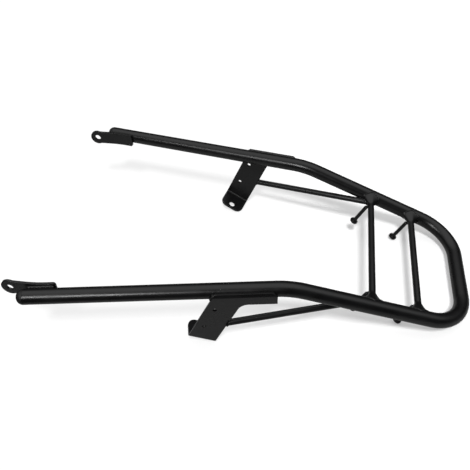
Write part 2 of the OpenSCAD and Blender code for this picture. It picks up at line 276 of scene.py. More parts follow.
def rounded_path(corners, radii):
    """Points along straight lines through corners, each corner rounded to its radius."""
    points = [corners[0]]
    for before, corner, after, radius in zip(corners, corners[1:], corners[2:], radii):
        into = (corner - before).normalized()
        out = (after - corner).normalized()
        angle = into.angle(out)
        reach = radius * math.tan(angle / 2)
        start = corner - into * reach
        towards = (out - into * into.dot(out)).normalized()
        centre = start + towards * radius
        steps = max(FEWEST_STEPS, round(radius * angle / PATH_STEP))
        for i in range(steps + 1):
            a = angle * i / steps
            points.append(centre + radius * (into * math.sin(a) - towards * math.cos(a)))
    points.append(corners[-1])
    return points


def path_object(name, points, place):
    mesh = bpy.data.meshes.new(name)
    edges = [(i, i + 1) for i in range(len(points) - 1)]
    mesh.from_pydata([place @ p for p in points], edges, [])
    return link(name, mesh)


tube_end = RAIL @ Vector((-FRONT_LEN, 0, 0))
shallow = Vector((0, HALF_W, 0))
rear_corner = LOOP @ Vector((LOOP_LEN, loop_half_w(LOOP_LEN), 0))
half = [tube_end, shallow, rear_corner]
tube_corners = half + [MIRROR @ p for p in reversed(half)]
tube_path = rounded_path(tube_corners, [SHALLOW_R, CORNER_R, CORNER_R, SHALLOW_R])
print("tube path has", len(tube_path), "points")

# %% Node tree that sweeps a circle
TUBE_SIDES = 48


def new_tree(name, sizes):
    """A Geometry Nodes tree with one mesh in, one mesh out, and named size inputs."""
    tree = bpy.data.node_groups.new(name, "GeometryNodeTree")
    tree.interface.new_socket("Geometry", in_out="INPUT", socket_type="NodeSocketGeometry")
    for label, kind, value in sizes:
        socket = tree.interface.new_socket(label, in_out="INPUT", socket_type=kind)
        socket.default_value = value
    tree.interface.new_socket("Geometry", in_out="OUTPUT", socket_type="NodeSocketGeometry")
    return tree, tree.nodes.new("NodeGroupInput"), tree.nodes.new("NodeGroupOutput")


def closing(tree, geometry, group_out, material):
    """Ends a tree: real geometry, smooth faces and the coat."""
    smooth = tree.nodes.new("GeometryNodeSetShadeSmooth")
    real = tree.nodes.new("GeometryNodeRealizeInstances")
    dress = tree.nodes.new("GeometryNodeSetMaterial")
    dress.inputs["Material"].default_value = material
    tree.links.new(geometry, smooth.inputs[0])
    tree.links.new(smooth.outputs[0], real.inputs[0])
    tree.links.new(real.outputs[0], dress.inputs["Geometry"])
    tree.links.new(dress.outputs[0], group_out.inputs[0])


def sweep_tree():
    """Sweeps a circle of a given radius along the edges of a mesh."""
    tree, given, result = new_tree("sweep_round_tube", [
        ("Radius", "NodeSocketFloat", TUBE_R * MM),
        ("Sides", "NodeSocketInt", TUBE_SIDES),
    ])
    path = tree.nodes.new("GeometryNodeMeshToCurve")
    ring = tree.nodes.new("GeometryNodeCurvePrimitiveCircle")
    sweep = tree.nodes.new("GeometryNodeCurveToMesh")
    tree.links.new(given.outputs["Geometry"], path.inputs["Mesh"])
    tree.links.new(given.outputs["Radius"], ring.inputs["Radius"])
    tree.links.new(given.outputs["Sides"], ring.inputs["Resolution"])
    tree.links.new(path.outputs[0], sweep.inputs["Curve"])
    tree.links.new(ring.outputs[0], sweep.inputs["Profile Curve"])
    closing(tree, sweep.outputs[0], result, COAT)
    return tree


def add_nodes(piece, tree, **sizes):
    """Adds a tree to a piece and sets its inputs, each by its socket's identifier."""
    modifier = piece.modifiers.new(tree.name, "NODES")
    modifier.node_group = tree
    sockets = [item for item in tree.interface.items_tree if item.in_out == "INPUT"]
    names = {socket.name: socket.identifier for socket in sockets}
    for label, value in sizes.items():
        modifier[names[label.replace("_", " ")]] = value
    return modifier


# %% The tube with its wall
SAME_PLACE = 1e-7
RIM_ANGLE = math.radians(40)


def outward(mesh):
    """Points every face of a closed mesh outwards."""
    work = bmesh.new()
    work.from_mesh(mesh)
    bmesh.ops.remove_doubles(work, verts=work.verts, dist=SAME_PLACE)
    bmesh.ops.recalc_face_normals(work, faces=work.faces)
    work.to_mesh(mesh)
    work.free()


SWEEP = sweep_tree()
tube = path_object("rack_tube", tube_path, STAND)
add_nodes(tube, SWEEP, Radius=TUBE_R * MM, Sides=TUBE_SIDES)
wall = tube.modifiers.new("wall", "SOLIDIFY")
wall.thickness = TUBE_WALL * MM
wall.offset = -1.0
bake_down(tube)
outward(tube.data)
tube.data.shade_smooth()
tube.data.set_sharp_from_angle(angle=RIM_ANGLE)
finish_piece(tube, "main_tube", COAT)

# %% [markdown]
# ## Cross bars with flared ends
# Two round bars cross the loop. Each end widens into a smooth flare where weld metal
# joins it to the tube, wider along the tube than it is high, and the flare has
# to end exactly on a round surface.
# A Boolean cut would leave ragged faces there, so each bar is lofted instead:
# for every direction round the bar, a short search finds where the flare meets the tube,
# and a curve with a soft start and end leads from the bar to that point.
# One short straight ring before the flare keeps the bar's shading even along its length.

# %% Distances to a round bar
BAR_R = 5.0
FLARE_LEN = 13.5
FLARE_HALF_W = 15.0
FLARE_HALF_H = 9.5
FLARE_EDGE = 3.0
CROWN_R = math.sqrt(TUBE_R**2 - FLARE_EDGE**2)
REAR_BAR_INSIDE = 74.0
BAR_SPACING = 71.5
REAR_BAR_AT = LOOP_LEN - REAR_BAR_INSIDE
FRONT_BAR_AT = REAR_BAR_AT - BAR_SPACING
HALVINGS = 30
LOOP_RAIL_DIRECTION = Vector((math.cos(LOOP_TAPER), -math.sin(LOOP_TAPER), 0))


def off_axis(point, on_axis, direction):
    """Distance from a point to an axis."""
    return (point - on_axis).cross(direction).length


def halve(low, high, beyond):
    """The value between low and high at which a test turns true, by halving."""
    for _ in range(HALVINGS):
        middle = (low + high) / 2
        if beyond(middle):
            high = middle
        else:
            low = middle
    return (low + high) / 2


def flare_size(inboard):
    """Half width along the tube and half height of a cross bar, inboard of the tube's axis."""
    flared = min(max(1 - (inboard - TUBE_R) / FLARE_LEN, 0), 1)
    crowned = max(TUBE_R - inboard, 0) / (TUBE_R - FLARE_EDGE)
    half_w = BAR_R + flared * (FLARE_HALF_W - BAR_R)
    half_h = BAR_R + flared * (FLARE_HALF_H - BAR_R) + crowned * (CROWN_R - FLARE_HALF_H)
    return half_w, half_h


# %% Flared ends and bars
BAR_SIDES = 64
FLARE_RINGS = 9
SOFT_ENDS = 0.15
SUNK = 0.5
STRAIGHT = 2.0
EDGE_MARGIN = 0.2
INNER_SHARE = 0.5
SEARCH_SPARE = 1.0


def flare_rings(at):
    """Rings from a bar's straight part to the tube's surface, at the right end, in the loop's frame.
    One straight ring comes first, then those of the flare, one under the tube's surface and one inside."""
    axis_point = Vector((at, loop_half_w(at), 0))
    rings = [[] for _ in range(FLARE_RINGS + 4)]
    footprint = []
    for i in range(BAR_SIDES):
        a = 2 * math.pi * i / BAR_SIDES
        radial = Vector((math.cos(a), 0, math.sin(a)))

        def at_depth(inboard, share=1.0):
            half_w, half_h = flare_size(inboard)
            return axis_point + Vector((radial.x * half_w * share, -inboard, radial.z * half_h * share))

        def inside(beyond, share, radius):
            return off_axis(at_depth(-beyond, share), axis_point, LOOP_RAIL_DIRECTION) < radius

        foot_at = -halve(-TUBE_R - FLARE_LEN, -FLARE_EDGE + EDGE_MARGIN, lambda v: inside(v, 1.0, TUBE_R))
        foot = at_depth(foot_at)
        start = at_depth(TUBE_R + FLARE_LEN)
        nearest = axis_point + LOOP_RAIL_DIRECTION * (foot - axis_point).dot(LOOP_RAIL_DIRECTION)
        normal = (foot - nearest).normalized()
        inwards = -radial + normal * radial.dot(normal)
        reach = (foot - start).length * SOFT_ENDS
        control = [start, start + Vector((0, reach, 0)), foot + inwards.normalized() * reach, foot]
        rings[0].append(start - Vector((0, STRAIGHT, 0)))
        for k in range(FLARE_RINGS + 1):
            t = k / FLARE_RINGS
            weights = ((1 - t) ** 3, 3 * t * (1 - t) ** 2, 3 * t * t * (1 - t), t**3)
            rings[k + 1].append(sum((w * c for w, c in zip(weights, control)), Vector()))
        rings[FLARE_RINGS + 2].append(foot - normal * SUNK)
        lowest = -TUBE_R - SEARCH_SPARE
        under = -halve(lowest, -SEARCH_SPARE, lambda v: inside(v, INNER_SHARE, TUBE_R - SUNK))
        rings[FLARE_RINGS + 3].append(at_depth(under, INNER_SHARE))
        footprint.append(foot)
    pole = axis_point - Vector((0, TUBE_R - SUNK, 0))
    return rings, pole, footprint


def loft(name, rings, poles, place):
    """A closed mesh through rings of equal length, with a pole at each end."""
    count = len(rings[0])
    points = [p for ring in rings for p in ring] + list(poles)
    faces = []
    for k in range(len(rings) - 1):
        for i in range(count):
            j = (i + 1) % count
            faces.append((k * count + i, k * count + j, (k + 1) * count + j, (k + 1) * count + i))
    first, last = len(points) - 2, len(points) - 1
    for i in range(count):
        j = (i + 1) % count
        faces.append((first, j, i))
        faces.append((last, (len(rings) - 1) * count + i, (len(rings) - 1) * count + j))
    mesh = bpy.data.meshes.new(name)
    mesh.from_pydata([place @ p for p in points], [], faces)
    outward(mesh)
    mesh.shade_smooth()
    return mesh


bar_footprints = []
for name, at in (("front", FRONT_BAR_AT), ("rear", REAR_BAR_AT)):
    rings, pole, footprint = flare_rings(at)
    mirrored = [[MIRROR @ p for p in ring] for ring in rings]
    solid = loft(f"bar_{name}", rings[::-1] + mirrored, (pole, MIRROR @ pole), STAND @ LOOP)
    finish_piece(link(f"bar_{name}", solid), f"{name}_cross_bar", COAT)
    bar_footprints += [[LOOP @ p for p in footprint], [MIRROR @ LOOP @ p for p in footprint]]

# %% [markdown]
# ## Caps and pegs
# The plastic caps in the front ends and the pegs for luggage straps are turned shapes.
# A lathe profile says all there is to say about them: a list of radius and height,
# swung round an axis. It is closed at its poles, so nothing is open underneath.

# %% Lathe
def lathe(name, profile, sides, place):
    """Swings a profile of (radius, height) round Z. Its first and last radius are 0."""
    rings = []
    for radius, z in profile[1:-1]:
        angles = [2 * math.pi * i / sides for i in range(sides)]
        rings.append([Vector((radius * math.cos(a), radius * math.sin(a), z)) for a in angles])
    poles = (Vector((0, 0, profile[0][1])), Vector((0, 0, profile[-1][1])))
    return loft(name, rings, poles, place)


def arc(centre_r, centre_z, radius, start, end, steps):
    """Points of a profile round a centre, from one angle to another, in degrees."""
    angles = [math.radians(start + (end - start) * i / steps) for i in range(steps + 1)]
    return [(centre_r + radius * math.cos(a), centre_z + radius * math.sin(a)) for a in angles]


# %% End caps
PLUG_CLEARANCE = 0.1
PLUG_R = TUBE_R - TUBE_WALL - PLUG_CLEARANCE
PLUG_LEN = 14.0
PLUG_CHAMFER = 1.0
RIM = 1.0
RIM_LOW = 0.5
RIM_TOP = 0.3
RIM_ROUND = 0.12
GAP_LOW = 0.25
GAP_DEPTH = 0.5
DOME_FROM = -88
DOME_STEPS = 14
CAP_SIDES = 56

cap_profile = [(0, -TUBE_R)]
dome = arc(0, 0, 1.0, DOME_FROM, 0, DOME_STEPS)
cap_profile += [(r * TUBE_R, z * (TUBE_R - RIM) - RIM) for r, z in dome]
cap_profile += [(TUBE_R, -RIM_LOW), (TUBE_R - RIM_ROUND, -RIM_TOP)]
cap_profile += [(TUBE_R - GAP_DEPTH, -GAP_LOW), (TUBE_R - GAP_DEPTH, 0.0)]
cap_profile += [(PLUG_R, 0.0), (PLUG_R, PLUG_LEN - PLUG_CHAMFER)]
cap_profile += [(PLUG_R - PLUG_CHAMFER, PLUG_LEN), (0, PLUG_LEN)]
for side, hand in SIDES.items():
    place = STAND @ hand @ RAIL @ shift(-FRONT_LEN, 0, 0) @ turn(math.pi / 2, "Y")
    cap = link(f"cap_{side}", lathe(f"cap_{side}", cap_profile, CAP_SIDES, place))
    finish_piece(cap, f"end_cap_{side}", CAP)

# %% Pegs
PEG_R = 3.0
PEG_LEN = 41.0
HEAD_R = 6.5
HEAD_T = 4.0
HEAD_EDGE = 1.5
PEG_LEAN = math.radians(8)
PEG_AHEAD = 5.4
PEG_DROP = 3.0
PEG_TOP_R = 1.8
PEG_SUNK = 0.8
FRONT_PEG_INSIDE = 25.5
REAR_PEG_INSIDE = 20.5
PEG_PLACES = (("front", FRONT_BAR_AT, FRONT_PEG_INSIDE), ("rear", REAR_BAR_AT, REAR_PEG_INSIDE))
PEG_RINGS_AT = (8, 16, 24, 32)
PEG_SIDES = 40
HEAD_TOP_EDGE = 0.6
NECK_R = 0.8
EDGE_ARC_STEPS = 6
SMALL_ARC_STEPS = 4

peg_profile = [(0, 0)]
peg_profile += arc(HEAD_R - HEAD_EDGE, HEAD_EDGE, HEAD_EDGE, -90, 0, EDGE_ARC_STEPS)
peg_profile += arc(HEAD_R - HEAD_TOP_EDGE, HEAD_T - HEAD_TOP_EDGE, HEAD_TOP_EDGE, 0, 90, SMALL_ARC_STEPS)
peg_profile += arc(PEG_R + NECK_R, HEAD_T + NECK_R, NECK_R, -90, -180, SMALL_ARC_STEPS)
peg_profile += [(PEG_R, z) for z in PEG_RINGS_AT]
peg_profile += arc(PEG_R - PEG_TOP_R, PEG_LEN - PEG_SUNK - PEG_TOP_R, PEG_TOP_R, 0, 90, EDGE_ARC_STEPS)
peg_profile += [(0, PEG_LEN - PEG_SUNK)]


def peg_place(at, from_tube):
    """Place of a right peg in the frame of the rails: its profile's foot is the head's face."""
    top = LOOP @ shift(at - PEG_AHEAD, loop_half_w(at) - from_tube, -PEG_DROP)
    return top @ turn(PEG_LEAN, "Y") @ shift(0, 0, -PEG_LEN)


for where, at, from_tube in PEG_PLACES:
    for side, hand in SIDES.items():
        name = f"peg_{where}_{side}"
        peg = link(name, lathe(name, peg_profile, PEG_SIDES, STAND @ hand @ peg_place(at, from_tube)))
        finish_piece(peg, f"{where}_peg_{side}", COAT)

# %% [markdown]
# ## Folded sheet
# The side brackets and the eye plates start as flat blanks of 4 mm steel, with their
# holes already cut, and are folded afterwards. They are made the same way here.
# The blank gets its rounded edges while it is flat, when they are easy to make.
# It is then cut into narrow strips where it will bend, and each point is moved to its
# place in the bend. A Bevel modifier on the folded shape would trip over the short edges there.
# All holes get a crisper edge than the outline has. Coat gathers in the small holes
# of the brackets, so those are also drawn a little narrower than the CAD holes.

# %% Flat blanks with rounded edges
EDGE_R = 0.55
EDGE_STEPS = 3
HOLE_EDGE = 0.1
LEAST_MITRE = 0.4
ON_CUT = 1e-5
FLATS_FIRST = 100
HOLE_SIDES = 40


def inset(loop, distance):
    """Moves an outline towards its left side."""
    made = []
    for i, p in enumerate(loop):
        into = (p - loop[i - 1]).normalized()
        out = (loop[(i + 1) % len(loop)] - p).normalized()
        left_in = Vector((-into.y, into.x))
        left = (left_in + Vector((-out.y, out.x))).normalized()
        made.append(p + left * distance / max(LEAST_MITRE, left.dot(left_in)))
    return made


def blank(loops, thickness):
    """A flat plate from an outer loop and its holes, with material on the left of each loop."""
    turns = [math.pi / 2 * i / EDGE_STEPS for i in range(EDGE_STEPS + 1)]
    lower = [(EDGE_R * (1 - math.cos(a)), EDGE_R * (1 - math.sin(a))) for a in turns]
    levels = lower + [(thickness - t, d) for t, d in reversed(lower)]
    work = bmesh.new()
    rings = []
    for t, distance in levels:
        outlines = [inset(loops[0], distance)] + [inset(cut, distance * HOLE_EDGE) for cut in loops[1:]]
        rings.append([[work.verts.new((*p, t)) for p in outline] for outline in outlines])
    for below, above in zip(rings, rings[1:]):
        for ring, upper in zip(below, above):
            for i in range(len(ring)):
                work.faces.new((ring[i - 1], ring[i], upper[i], upper[i - 1]))
    for level in (rings[0], rings[-1]):
        corners = [v for ring in level for v in ring]
        flat = tessellate_polygon([[Vector((v.co.x, v.co.y, 0)) for v in ring] for ring in level])
        for a, b, c in flat:
            work.faces.new((corners[a], corners[b], corners[c]))
    bmesh.ops.recalc_face_normals(work, faces=work.faces)
    return work


def cut_strips(work, point, normal, width, count):
    """Cuts a plate along count + 1 parallel lines, across the zone that will bend."""
    for k in range(count + 1):
        at = Vector(point) + Vector(normal) * width * k / count
        everything = work.verts[:] + work.edges[:] + work.faces[:]
        bmesh.ops.bisect_plane(work, geom=everything, plane_co=at, plane_no=normal, dist=ON_CUT)


def rolled(distance, depth, bend_r, radius, angle):
    """Where a point of a sheet goes in a bend: (forward, sideways), both from the bend's start.
    bend_r is the inner radius, radius that of the line which keeps its length."""
    swung = min(max(distance, 0) / radius, angle)
    extra = max(distance - radius * angle, 0) + min(distance, 0)
    ro = bend_r + depth
    return (
        ro * math.sin(swung) + extra * math.cos(swung),
        ro * math.cos(swung) - extra * math.sin(swung) - bend_r,
    )


def fold(name, work, bent, place):
    """Moves each point of a blank to its place when bent, and shades flats flat and edges round."""
    for v in work.verts:
        v.co = place @ Vector(bent(*v.co))
    mesh = bpy.data.meshes.new(name)
    work.to_mesh(mesh)
    work.free()
    outward(mesh)
    mesh.shade_smooth()
    piece = link(name, mesh)
    even = piece.modifiers.new("even_flats", "WEIGHTED_NORMAL")
    even.weight = FLATS_FIRST
    return bake_down(piece)


def circle(x, y, radius, start, end, steps):
    """Points on a circle from one angle to another, in degrees."""
    angles = [math.radians(start + (end - start) * i / steps) for i in range(steps + 1)]
    return [Vector((x + radius * math.cos(a), y + radius * math.sin(a))) for a in angles]


def hole(x, y, radius):
    """A circle that runs backwards, so that the material is on its left."""
    return circle(x, y, radius, 360, 0, HOLE_SIDES)[:-1]


# %% Eye plates
EYE_T = 4.0
EYE_HALF = 11.5
EYE_R = 12.75
EYE_HOLE_R = 5.25
EYE_REACH = 39.0
EYE_SEAT = 28.0
EYE_KINK_BACK = 14.0
EYE_BEND_R = 180.0
EYE_CORNER_R = 4.0
EYE_STEPS = 40
EYE_CORNER_STEPS = 8
EYE_STRIPS = 10

kink_at = FRONT_LEN - EYE_KINK_BACK
bend_start = EYE_REACH - (EYE_BEND_R + EYE_T) * math.tan(FRONT_TAPER / 2)
mid_r = EYE_BEND_R + EYE_T / 2
arc_end = bend_start + (EYE_BEND_R + EYE_T) * math.sin(FRONT_TAPER)
seat_end = EYE_REACH + EYE_SEAT * math.cos(FRONT_TAPER)
rear = bend_start + mid_r * FRONT_TAPER + (seat_end - arc_end) / math.cos(FRONT_TAPER)
shoulder = math.degrees(math.asin(EYE_HALF / EYE_R))
corner = EYE_HALF - EYE_CORNER_R
eye_outline = circle(0, 0, EYE_R, shoulder, 360 - shoulder, EYE_STEPS)
eye_outline += circle(rear - EYE_CORNER_R, -corner, EYE_CORNER_R, -90, 0, EYE_CORNER_STEPS)
eye_outline += circle(rear - EYE_CORNER_R, corner, EYE_CORNER_R, 0, 90, EYE_CORNER_STEPS)


def bent_eye(s, z, depth):
    """Bends the plate from the eye's direction to that of the rail, far enough back to lie on the tube."""
    forward, sideways = rolled(s - bend_start, depth, EYE_BEND_R, mid_r, FRONT_TAPER)
    return bend_start + forward, sideways - EYE_T, z


eye_x = -kink_at * math.cos(FRONT_TAPER) - SEAT_R * math.sin(FRONT_TAPER) - EYE_REACH
eye_y = HALF_W + kink_at * math.sin(FRONT_TAPER) - SEAT_R * math.cos(FRONT_TAPER)
for side, hand in SIDES.items():
    work = blank([eye_outline, hole(0, 0, EYE_HOLE_R)], EYE_T)
    cut_strips(work, (bend_start, 0, 0), (1, 0, 0), mid_r * FRONT_TAPER, EYE_STRIPS)
    plate = fold(f"eye_{side}", work, bent_eye, STAND @ hand @ shift(eye_x, eye_y, 0))
    finish_piece(plate, f"eye_plate_{side}", COAT)

# %% Side brackets
SHEET_T = 4.0
STRAP_W = 41.0
STRAP_LEN = 97.5
SLANT = math.radians(24)
LEAN = math.radians(4.9)
STRAP_FRONT = 106.0
WING_REAR = 18.5
WING_DROP = 14.0
LIP_RISE = 6.5
LIP_LEAN = math.radians(12)
LIP_CHAMFER = 5.2
WING_FILLET = 16.0
FOOT_TURN = math.radians(78)
FOOT_BEND_R = 3.0
FOOT_REACH = 34.5
FOOT_CORNER = 12.0
FOOT_HOLE_AT = 25.5
FOOT_HOLE_R = 5.25
LIP_BEND_R = 1.5
COAT_IN_HOLE = 0.25
STRAP_HOLE_R = 3.25 - COAT_IN_HOLE
STRAP_HOLE_IN = 12.0
STRAP_HOLES_DOWN = (21.0, 63.0)
BRACKET_CORNER_STEPS = 12
LIP_STRIPS = 4
FOOT_STRIPS = 8

foot_set = (FOOT_BEND_R + SHEET_T) * math.tan(FOOT_TURN / 2)
flat_len = STRAP_LEN - foot_set
foot_mid_r = FOOT_BEND_R + SHEET_T / 2
foot_arc = foot_mid_r * FOOT_TURN
foot_end = -flat_len - foot_arc - (FOOT_REACH - foot_set)
lip_turn = LEAN + LIP_LEAN
lip_mid_r = LIP_BEND_R + SHEET_T / 2
lip_arc = lip_mid_r * lip_turn
lip_kink = math.tan(lip_turn / 2)
lip_start = (SEAT_R + SHEET_T) * lip_kink - (LIP_BEND_R + SHEET_T) * lip_kink
kink_h = (SEAT_R + SHEET_T) * (lip_kink * math.cos(LEAN) - math.sin(LEAN))
lip_len = (LIP_RISE - kink_h) / math.cos(LIP_LEAN) - lip_mid_r * lip_kink
lip_top = lip_start + lip_arc + lip_len


def across(x, z):
    """Turns a place along and above the rail into the strap's own directions."""
    return Vector((x * math.cos(SLANT) - z * math.sin(SLANT), x * math.sin(SLANT) + z * math.cos(SLANT)))


wing_len = STRAP_FRONT - WING_REAR
chamfer_low = LIP_RISE - LIP_CHAMFER
fillet_x = (STRAP_W + WING_FILLET - (WING_DROP + WING_FILLET) * math.sin(SLANT)) / math.cos(SLANT)
fillet = across(fillet_x, -WING_DROP - WING_FILLET)
bracket_outline = circle(FOOT_CORNER, foot_end + FOOT_CORNER, FOOT_CORNER, 180, 270, BRACKET_CORNER_STEPS)
bracket_outline += circle(
    STRAP_W - FOOT_CORNER, foot_end + FOOT_CORNER, FOOT_CORNER, 270, 360, BRACKET_CORNER_STEPS
)
bracket_outline += circle(*fillet, WING_FILLET, 180, 90 + math.degrees(SLANT), BRACKET_CORNER_STEPS)
bracket_outline += [
    across(wing_len, -WING_DROP),
    across(wing_len, chamfer_low),
    across(wing_len - (lip_top - chamfer_low), lip_top),
    across(lip_top * math.tan(SLANT), lip_top),
]
bracket_holes = [hole(STRAP_HOLE_IN, -down, STRAP_HOLE_R) for down in STRAP_HOLES_DOWN]
foot_hole_y = -flat_len - foot_arc - (FOOT_HOLE_AT - foot_set)
bracket_holes.append(hole(STRAP_W / 2, foot_hole_y, FOOT_HOLE_R))


def along_and_above(u, w):
    """Turns a place on the strap into distances along and above the rail, the reverse of across."""
    return u * math.cos(SLANT) + w * math.sin(SLANT), w * math.cos(SLANT) - u * math.sin(SLANT)


def bent_bracket(u, w, depth):
    """Folds the lip over the tube and the foot inwards. X along the rail, Y outwards, Z up."""
    if w < -flat_len:
        down, out = rolled(-flat_len - w, depth, FOOT_BEND_R, foot_mid_r, FOOT_TURN)
        along, above = along_and_above(u, -flat_len - down)
        return along, SEAT_R + out, above
    along, above = along_and_above(u, w)
    rise, out = rolled(above - lip_start, depth, LIP_BEND_R, lip_mid_r, lip_turn)
    return along, SEAT_R + out, lip_start + rise


LIP_NORMAL = (*across(0, 1), 0)
LEANING = RAIL @ turn(-LEAN, "X")
STRAP_PLACE = LEANING @ shift(-STRAP_FRONT, 0, 0)
for side, hand in SIDES.items():
    work = blank([bracket_outline, *bracket_holes], SHEET_T)
    cut_strips(work, (*across(0, lip_start), 0), LIP_NORMAL, lip_arc, LIP_STRIPS)
    cut_strips(work, (0, -flat_len, 0), (0, -1, 0), foot_arc, FOOT_STRIPS)
    bracket = fold(f"bracket_{side}", work, bent_bracket, STAND @ hand @ STRAP_PLACE)
    finish_piece(bracket, f"side_bracket_{side}", COAT)

# %% [markdown]
# ## Stays
# A stay is a straight round bar from the rear edge of the strap to the corner of tube
# and front cross bar. Its front end is cut to the strap's edge, so the start of each
# line along the bar is found on that plane. Its rear end runs into the flare, out of sight.

# %% Stays
STAY_R = 4.8
STAY_DOWN = 63.0
STAY_INSET = 15.0
STAY_DROP = 1.6
STAY_SIDES = 48
STRAP_FRAME = STRAP_PLACE @ turn(SLANT, "Y")

stay_front = STRAP_FRAME @ Vector((STRAP_W, SEAT_R + SHEET_T / 2, STRAP_W * math.tan(SLANT) - STAY_DOWN))
stay_rear = LOOP @ Vector((FRONT_BAR_AT, loop_half_w(FRONT_BAR_AT) - STAY_INSET, -STAY_DROP))
stay_line = (stay_rear - stay_front).normalized()
edge_normal = (STRAP_FRAME.to_3x3() @ Vector((1, 0, 0))).normalized()
stay_side = stay_line.cross(Vector((0, 0, 1))).normalized()
stay_top = stay_side.cross(stay_line)


def stay_ring(radius, on_edge):
    """Points round the stay, on the strap's edge or in its end at the flare."""
    ring = []
    for i in range(STAY_SIDES):
        a = 2 * math.pi * i / STAY_SIDES
        off = radius * (math.cos(a) * stay_side + math.sin(a) * stay_top)
        start = stay_front + off
        start -= stay_line * (start - stay_front).dot(edge_normal) / stay_line.dot(edge_normal)
        ring.append(start if on_edge else stay_rear + off)
    return ring


stay_rings = [stay_ring(STAY_R, True), stay_ring(STAY_R, False)]
for side, hand in SIDES.items():
    name = f"stay_{side}_bar"
    stay = link(name, loft(name, stay_rings, (stay_front, stay_rear), STAND @ hand))
    stay.data.set_sharp_from_angle(angle=RIM_ANGLE)
    finish_piece(stay, f"stay_{side}", COAT)

# %% [markdown]
# ## Weld beads
# The welder leaves a rippled bead along every joint. It follows a path, and its ripples
# repeat, so this is work for Geometry Nodes: the path is cut into short steps, and
# a circle is swept along it, and its scale shrinks and springs back once for each ripple.
# Beads that run round a bar close on themselves; the others fade out at both ends.
# Bars and stays are welded all round, pegs where they lie on their bar, brackets
# and eye plates in stitches, and one thick bead sits on the upper front edge of each strap.

# %% Node tree for a bead
BEAD_STEP = 0.0003
BEAD_SIDES = 14
BLUNT_END = 0.12


def bead_tree():
    """Sweeps a rippled bead along the edges of a mesh."""
    tree, given, result = new_tree("weld_bead", [
        ("Radius", "NodeSocketFloat", 0.0015),
        ("Ripple Pitch", "NodeSocketFloat", 0.0016),
        ("Ripple Depth", "NodeSocketFloat", 0.14),
        ("Fade Length", "NodeSocketFloat", 0.003),
    ])
    path = tree.nodes.new("GeometryNodeMeshToCurve")
    steps = tree.nodes.new("GeometryNodeResampleCurve")
    steps.mode = "LENGTH"
    steps.inputs["Length"].default_value = BEAD_STEP
    ring = tree.nodes.new("GeometryNodeCurvePrimitiveCircle")
    ring.inputs["Resolution"].default_value = BEAD_SIDES
    sweep = tree.nodes.new("GeometryNodeCurveToMesh")
    sweep.inputs["Fill Caps"].default_value = True
    place = tree.nodes.new("GeometryNodeSplineParameter")
    whole = tree.nodes.new("GeometryNodeSplineLength")
    ripples = math_node(tree, "DIVIDE", place.outputs["Length"], given.outputs["Ripple Pitch"])
    phase = math_node(tree, "FRACT", ripples)
    squared = math_node(tree, "MULTIPLY", phase, phase)
    dip = math_node(tree, "MULTIPLY", squared, given.outputs["Ripple Depth"])
    left_over = math_node(tree, "SUBTRACT", whole.outputs["Length"], place.outputs["Length"])
    nearest = math_node(tree, "MINIMUM", place.outputs["Length"], left_over)
    share = math_node(tree, "DIVIDE", nearest, given.outputs["Fade Length"])
    clamped = math_node(tree, "MINIMUM", math_node(tree, "ADD", share, BLUNT_END), 1.0)
    fade = math_node(tree, "SQRT", clamped)
    scale = math_node(tree, "MULTIPLY", math_node(tree, "SUBTRACT", 1.0, dip), fade)
    tree.links.new(given.outputs["Geometry"], path.inputs["Mesh"])
    tree.links.new(path.outputs[0], steps.inputs["Curve"])
    tree.links.new(given.outputs["Radius"], ring.inputs["Radius"])
    tree.links.new(steps.outputs[0], sweep.inputs["Curve"])
    tree.links.new(ring.outputs[0], sweep.inputs["Profile Curve"])
    tree.links.new(scale, sweep.inputs["Scale"])
    closing(tree, sweep.outputs[0], result, COAT)
    return tree


BEAD = bead_tree()


def beads(name, paths, closed, radius, fade):
    """One piece with a bead along each path, on both sides of the rack."""
    points, edges = [], []
    for hand in SIDES.values():
        for path in paths:
            first = len(points)
            points += [STAND @ hand @ p for p in path]
            edges += [(first + i, first + i + 1) for i in range(len(path) - 1)]
            if closed:
                edges.append((first + len(path) - 1, first))
    mesh = bpy.data.meshes.new(name)
    mesh.from_pydata(points, edges, [])
    piece = link(name, mesh)
    add_nodes(piece, BEAD, Radius=radius, Fade_Length=fade)
    bake_down(piece)
    outward(piece.data)
    piece.data.shade_smooth()
    return finish_piece(piece, None, COAT)


# %% Beads round the bars and stays
NO_FADE = 1e-6
SEAM_REACH = 60.0

bar_paths = bar_footprints[0::2]
beads("weld_bars", bar_paths, closed=True, radius=0.0009, fade=NO_FADE)

tube_axis_point = LOOP @ Vector((FRONT_BAR_AT, loop_half_w(FRONT_BAR_AT), 0))
tube_direction = LOOP.to_3x3() @ LOOP_RAIL_DIRECTION


def in_bar_or_tube(p):
    """Whether a point is inside the tube or inside the flare that the stay runs into."""
    local = LOOP.inverted() @ p
    inboard = loop_half_w(FRONT_BAR_AT) - local.y
    in_tube = off_axis(p, tube_axis_point, tube_direction) < TUBE_R
    half_w, half_h = flare_size(inboard)
    return in_tube or math.hypot((local.x - FRONT_BAR_AT) / half_w, local.z / half_h) < 1


stay_seam = []
for p in stay_ring(STAY_R, False):
    far = halve(0, SEAM_REACH, lambda v: not in_bar_or_tube(p - stay_line * v))
    stay_seam.append(p - stay_line * far)
beads("weld_stays", [stay_seam, stay_ring(STAY_R, True)], closed=True, radius=0.0011, fade=NO_FADE)

# %% Beads at the pegs
# The weld runs this many degrees to each side of the peg's rear, which lies on the bar.
PEG_SEAM_HALF = 62
PEG_SEAM_STEPS = 24
PEG_SEAM_SEARCH = 6

